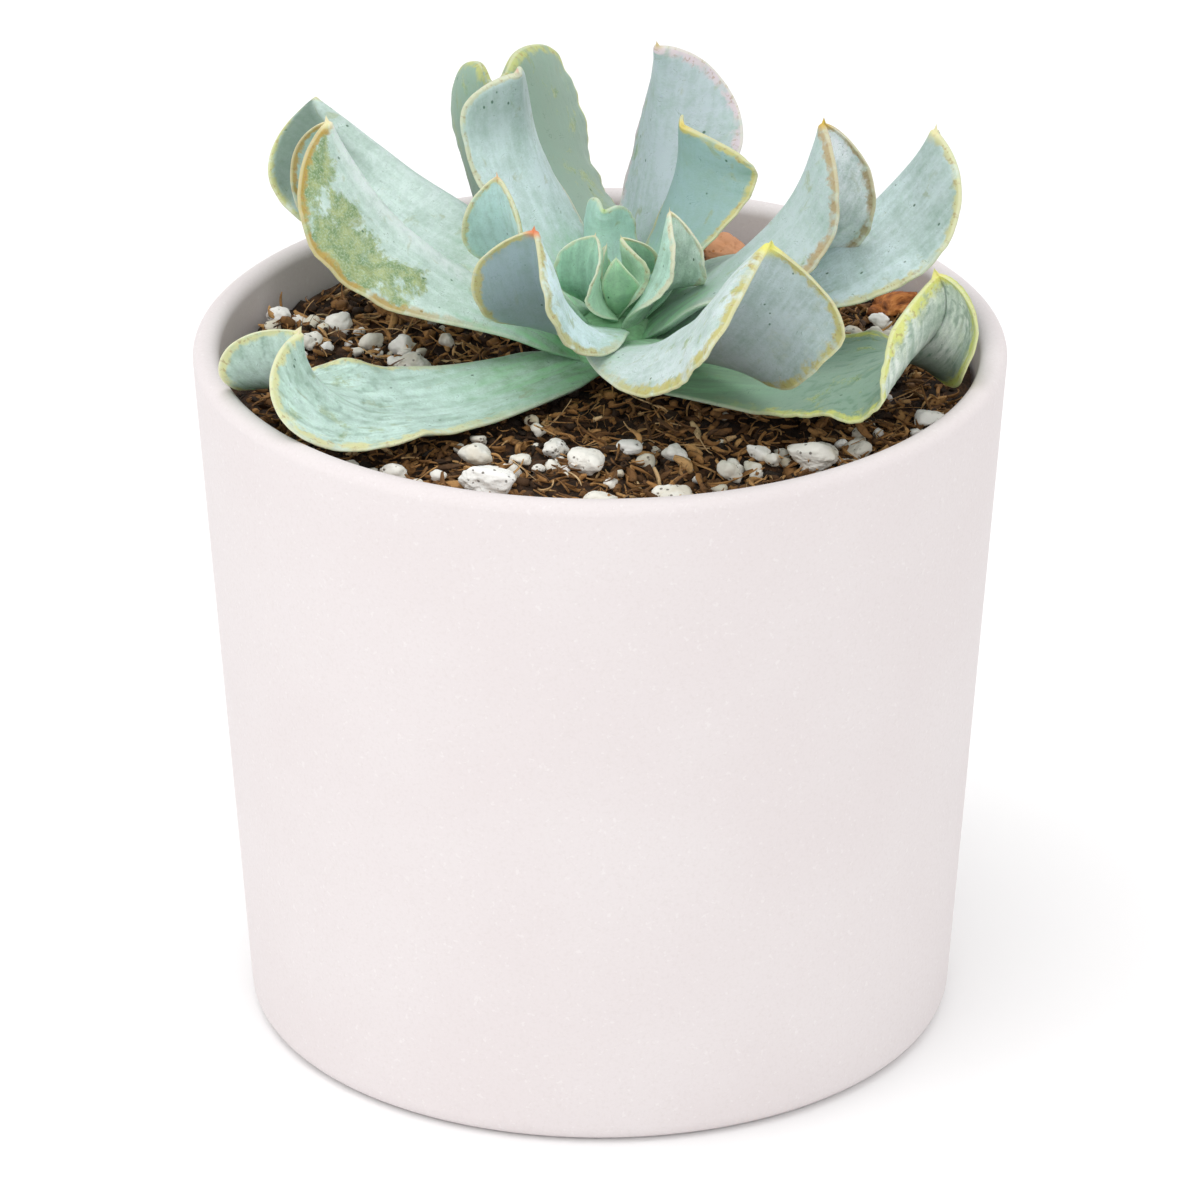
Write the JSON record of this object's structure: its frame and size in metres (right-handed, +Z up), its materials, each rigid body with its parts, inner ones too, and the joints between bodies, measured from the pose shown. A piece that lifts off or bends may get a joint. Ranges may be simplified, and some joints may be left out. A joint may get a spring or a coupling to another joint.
{
  "type": "potted succulent",
  "caption": "Rosette succulent with pale blue-green curled leaves, growing in gritty soil with white perlite, in a plain round tapered ceramic planter.",
  "frame": {"origin": "centre of the planter's foot, on the surface that it stands on", "axes": "+Z up along the planter's axis of rotation; the plant's front looks along -Y, with its widest low leaves to -X and +X"},
  "size_m": [0.0898, 0.0898, 0.1071],
  "materials": {
    "ceramic": "matt off-white with a fine grain",
    "soil": "dark crumbly peat and bark fibre",
    "crown": "waxy green stem tissue",
    "leaf": "waxy blue-green with a pale bloom",
    "perlite": "porous white, matt",
    "bark": "rough orange-brown"
  },
  "bodies": {
    "root": {"bark_chip_01": "bark", "bark_chip_02": "bark", "bark_chip_03": "bark", "crown": "crown", "granule_01": "perlite", "granule_02": "perlite", "granule_03": "perlite", "granule_04": "perlite", "granule_05": "perlite", "granule_06": "perlite", "granule_07": "perlite", "granule_08": "perlite", "granule_09": "perlite", "granule_10": "perlite", "granule_11": "perlite", "granule_12": "perlite", "granule_13": "perlite", "granule_14": "perlite", "granule_15": "perlite", "granule_16": "perlite", "granule_17": "perlite", "granule_18": "perlite", "granule_19": "perlite", "granule_20": "perlite", "granule_21": "perlite", "granule_22": "perlite", "granule_23": "perlite", "granule_24": "perlite", "granule_25": "perlite", "granule_26": "perlite", "granule_27": "perlite", "leaf_back": "leaf", "leaf_back_left": "leaf", "leaf_back_right": "leaf", "leaf_core_back": "leaf", "leaf_core_front": "leaf", "leaf_core_left": "leaf", "leaf_front_left": "leaf", "leaf_front_right": "leaf", "leaf_inner_left": "leaf", "leaf_inner_right": "leaf", "leaf_left": "leaf", "leaf_left_back": "leaf", "leaf_low_left": "leaf", "leaf_low_right": "leaf", "leaf_mid_back": "leaf", "leaf_mid_left": "leaf", "leaf_mid_right": "leaf", "leaf_right": "leaf", "leaf_right_back": "leaf", "leaf_tall_back": "leaf", "pot": "ceramic", "soil": "soil"}
  },
  "joints": []
}
